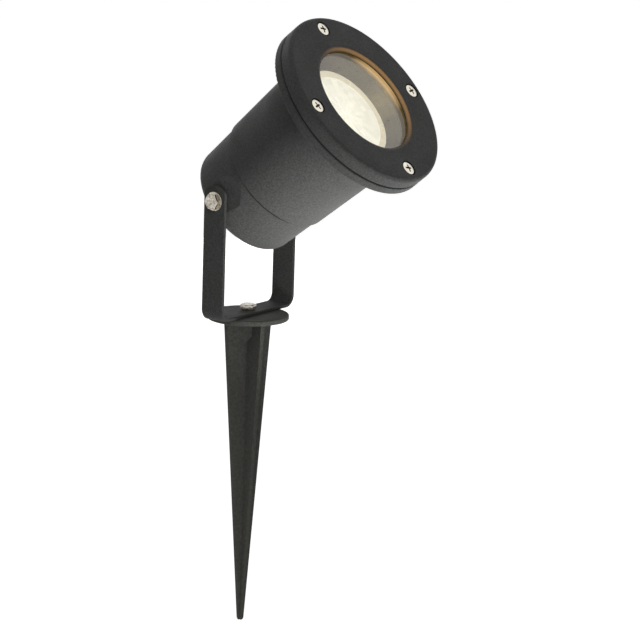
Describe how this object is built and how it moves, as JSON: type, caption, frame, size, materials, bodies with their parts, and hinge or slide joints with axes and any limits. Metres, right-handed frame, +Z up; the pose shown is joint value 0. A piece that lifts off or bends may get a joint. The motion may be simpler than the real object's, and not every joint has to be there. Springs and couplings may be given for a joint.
{
  "type": "landscape spotlight",
  "caption": "Garden spotlight: a tapered black lamp head with a round screwed bezel and clear glass, tilting in a U-shaped yoke that swivels on a cross-ribbed ground spike.",
  "frame": {"origin": "centre of the underside of the spike's disc, at ground level when the spike is pushed home", "axes": "+Z up along the spike, +X the way the head points, the head's tilt axis along Y"},
  "size_m": [0.118, 0.0948, 0.31],
  "materials": {
    "black_cast_coat": "fine-textured black powder coat on cast aluminium",
    "black_steel_coat": "fine-textured black powder coat on steel strip",
    "black_spike_plastic": "black moulded plastic, matte",
    "stainless_steel": "bright stainless steel, satin",
    "zinc_steel": "zinc-plated steel, satin",
    "black_rubber": "black silicone rubber, matte",
    "clear_glass": "clear toughened glass, polished",
    "shroud_aluminium": "plain spun aluminium, matte",
    "lamp_mirror_glass": "glass reflector with a bright coating",
    "lamp_cover_glass": "clear faceted glass",
    "capsule_glass": "clear quartz glass",
    "white_ceramic": "unglazed white ceramic, matte",
    "brass": "plain brass, satin",
    "white_nylon": "white moulded nylon, matte",
    "black_nylon": "black moulded nylon, matte",
    "lead_silicone": "cream silicone insulation, matte"
  },
  "bodies": {
    "spike": {"ground_spike": "black_spike_plastic", "spike_insert": "brass", "base_bolt": "stainless_steel", "base_washer": "stainless_steel"},
    "bracket": {"yoke_bracket": "black_steel_coat"},
    "head": {"body_housing": "black_cast_coat", "bezel_ring": "black_cast_coat", "pivot_bolts": "stainless_steel", "pivot_washers": "stainless_steel", "bezel_screws": "stainless_steel", "holder_plate": "zinc_steel", "plate_screws": "zinc_steel", "holder_screws": "zinc_steel", "terminal_screws": "zinc_steel", "earth_screw": "zinc_steel", "bezel_gasket": "black_rubber", "glass_seal": "black_rubber", "gland_seal": "black_rubber", "glass_lens": "clear_glass", "lamp_shroud": "shroud_aluminium", "lamp_bowl": "lamp_mirror_glass", "lamp_cover": "lamp_cover_glass", "lamp_capsule": "capsule_glass", "lamp_base": "white_ceramic", "lamp_holder": "white_ceramic", "lamp_pins": "brass", "holder_contacts": "brass", "earth_lug": "brass", "terminal_block": "white_nylon", "friction_washers": "black_nylon", "gland_body": "black_nylon", "gland_locknut": "black_nylon", "gland_nut": "black_nylon", "lamp_leads": "lead_silicone"}
  },
  "joints": [
    {"name": "bracket_swivel", "type": "hinge", "parent": "spike", "child": "bracket", "pos_m": [0, 0, 0], "axis": [0, 0, 1], "continuous": true},
    {"name": "head_tilt", "type": "hinge", "parent": "bracket", "child": "head", "pos_m": [0, 0, 0.0629], "axis": [0, -1, 0], "range_deg": [-59, 161]}
  ]
}
